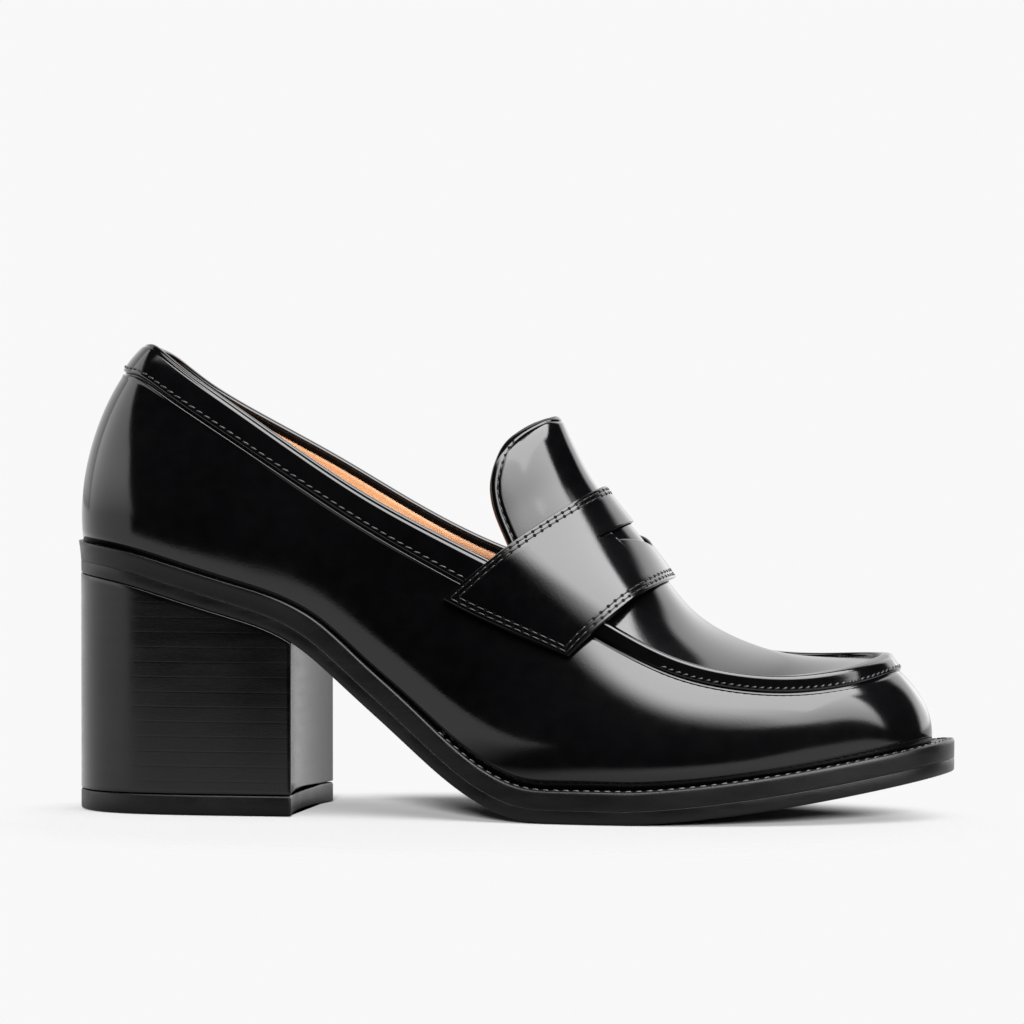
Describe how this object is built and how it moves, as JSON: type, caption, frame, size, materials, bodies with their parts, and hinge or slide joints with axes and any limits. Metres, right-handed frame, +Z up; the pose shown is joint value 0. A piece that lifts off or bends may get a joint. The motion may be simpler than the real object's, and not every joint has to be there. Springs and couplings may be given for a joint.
{
  "type": "loafer pump",
  "caption": "Black leather penny loafer pump with a saddle strap over a tall tongue, a raised moc seam, a welted sole and a high block heel.",
  "frame": {"origin": "on the floor, under the middle of the bounding box, which is the middle of the outer sole outline", "axes": "+X from heel to toe, +Y towards the inner (medial) side of the foot, +Z up"},
  "size_m": [0.246, 0.0862, 0.1301],
  "materials": {
    "black_leather": "high gloss box leather",
    "black_edge": "semi-matt stained leather edge",
    "stacked_heel": "satin stained stacked leather",
    "black_rubber": "matt moulded rubber",
    "tan_lining": "smooth unfinished lining leather"
  },
  "bodies": {
    "root": {"outsole": "black_edge", "midsole": "black_edge", "heel_block": "stacked_heel", "top_lift": "black_rubber", "insole": "tan_lining", "upper": "black_leather", "tongue": "black_leather", "saddle_strap": "black_leather"}
  },
  "joints": []
}
